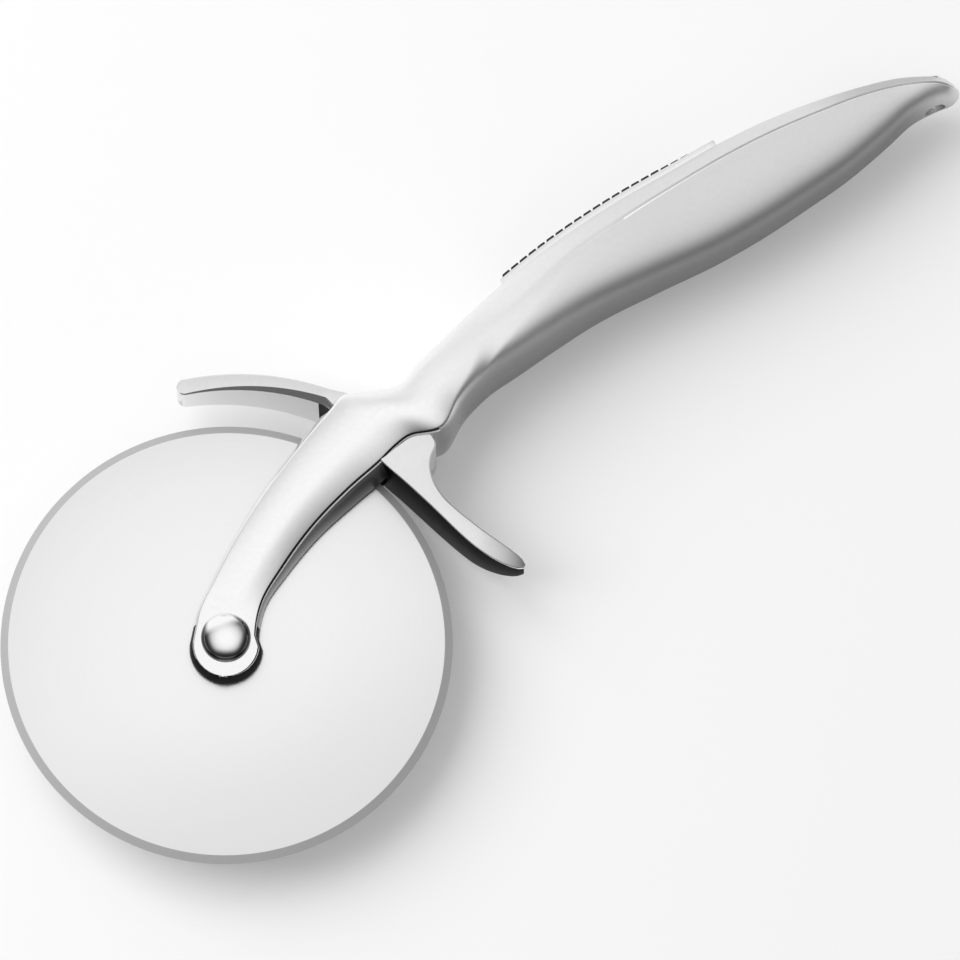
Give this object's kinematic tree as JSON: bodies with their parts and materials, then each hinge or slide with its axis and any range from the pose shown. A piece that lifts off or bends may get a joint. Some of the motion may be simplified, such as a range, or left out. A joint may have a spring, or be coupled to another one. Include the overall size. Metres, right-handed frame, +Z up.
{
  "type": "pizza cutter wheel",
  "caption": "Hand-held rolling pizza cutter: steel disc on an axle in a curved metal fork and handle, with a finger guard, a rubber thumb pad and a hanging eyelet.",
  "frame": {"origin": "on the surface that the cutter lies on, under the middle of its box", "axes": "+Z up along the axle of the wheel, +X and +Y from the wheel towards the tail of the handle"},
  "size_m": [0.2172, 0.1852, 0.0269],
  "materials": {
    "blade_steel": "satin ground",
    "cast_metal": "soft polished",
    "rivet_metal": "polished",
    "bush_brass": "turned",
    "washer_plastic": "moulded",
    "screw_steel": "turned",
    "grip_rubber": "matte ribbed"
  },
  "bodies": {
    "handle": {"front_washer": "washer_plastic", "rear_washer": "washer_plastic", "axle_barrel": "rivet_metal", "axle_screw": "rivet_metal", "front_shell": "cast_metal", "rear_shell": "cast_metal", "finger_guard": "cast_metal", "grip_frame": "rivet_metal", "thumb_grip": "grip_rubber", "hang_eyelet": "rivet_metal", "shell_screws": "screw_steel", "locating_dowels": "screw_steel"},
    "wheel": {"blade": "blade_steel", "front_bush": "bush_brass", "rear_bush": "bush_brass"}
  },
  "joints": [
    {"name": "wheel_spin", "type": "hinge", "parent": "handle", "child": "wheel", "pos_m": [-0.05778, -0.04184, 0.01343], "axis": [0, 0, 1], "continuous": true}
  ]
}
